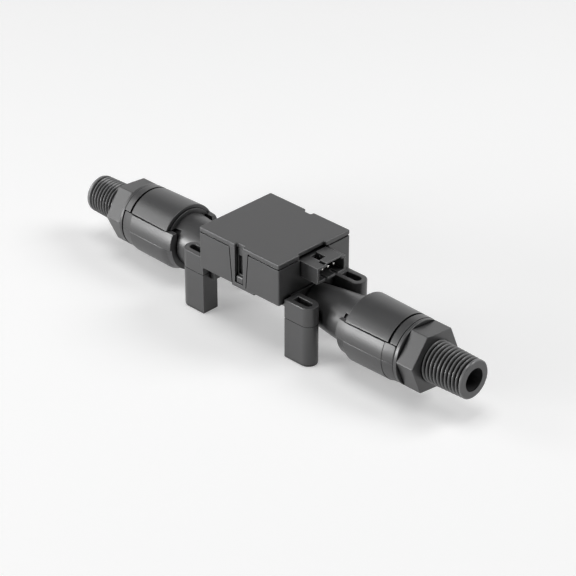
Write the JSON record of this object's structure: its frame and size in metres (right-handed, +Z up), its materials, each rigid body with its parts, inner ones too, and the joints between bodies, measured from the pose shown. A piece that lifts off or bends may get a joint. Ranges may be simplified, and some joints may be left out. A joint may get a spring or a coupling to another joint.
{
  "type": "air flow sensor",
  "caption": "In-line air flow sensor: electronics box with a side connector on a footed flow tube, with a clipped, swivelling threaded adapter at each end.",
  "frame": {"origin": "on the mounting plane under the middle of the four feet, below the middle of the electronics box", "axes": "+X along the flow towards the connector's side, +Z up through the box, +Y completes the right hand; the pipe axis is 14.5 mm above the origin"},
  "size_m": [0.167, 0.0318, 0.0334],
  "materials": {
    "housing_plastic": "moulded black thermoplastic, fine satin grain",
    "cover_plastic": "moulded black thermoplastic, fine satin grain",
    "clip_plastic": "moulded black thermoplastic, satin",
    "adapter_plastic": "moulded black thermoplastic, satin",
    "connector_plastic": "moulded black thermoplastic, satin",
    "inner_plastic": "dark moulded thermoplastic",
    "board_laminate": "green solder mask over glass laminate",
    "package_ceramic": "white alumina",
    "chip_silicon": "polished silicon",
    "component_black": "moulded epoxy",
    "component_tan": "fired ceramic",
    "contact_metal": "tin plated",
    "plated_steel": "zinc plated",
    "screen_steel": "stainless wire",
    "seal_rubber": "nitrile rubber"
  },
  "bodies": {
    "sensor_body": {"housing": "housing_plastic", "top_cover": "cover_plastic", "circuit_board": "board_laminate", "board_screws": "plated_steel", "sensor_gasket": "seal_rubber", "sensor_package": "package_ceramic", "sensor_chip": "chip_silicon", "sensor_leads": "contact_metal", "sensor_clamp": "plated_steel", "clamp_screws": "plated_steel", "amplifier": "component_black", "voltage_regulator": "component_black", "capacitors": "component_tan", "resistors": "component_black", "connector_body": "connector_plastic", "supply_pin": "contact_metal", "ground_pin": "contact_metal", "signal_pin": "contact_metal", "flow_restrictor": "inner_plastic", "inlet_screen": "screen_steel", "inlet_straightener": "inner_plastic", "inlet_spacer": "inner_plastic", "outlet_screen": "screen_steel", "outlet_straightener": "inner_plastic", "outlet_spacer": "inner_plastic"},
    "inlet_port_body": {"inlet_adapter": "adapter_plastic", "inlet_seal": "seal_rubber"},
    "outlet_port_body": {"outlet_adapter": "adapter_plastic", "outlet_seal": "seal_rubber"},
    "inlet_clip_body": {"inlet_clip": "clip_plastic"},
    "outlet_clip_body": {"outlet_clip": "clip_plastic"}
  },
  "joints": [
    {"name": "inlet_swivel", "type": "hinge", "parent": "sensor_body", "child": "inlet_port_body", "pos_m": [-0.0655, 0, 0.0145], "axis": [1, 0, 0], "continuous": true},
    {"name": "outlet_swivel", "type": "hinge", "parent": "sensor_body", "child": "outlet_port_body", "pos_m": [0.0655, 0, 0.0145], "axis": [1, 0, 0], "continuous": true},
    {"name": "inlet_clip_pull", "type": "slide", "parent": "sensor_body", "child": "inlet_clip_body", "axis": [0, 0, -1], "range_m": [0, 0.017]},
    {"name": "outlet_clip_pull", "type": "slide", "parent": "sensor_body", "child": "outlet_clip_body", "axis": [0, 0, -1], "range_m": [0, 0.017]}
  ]
}
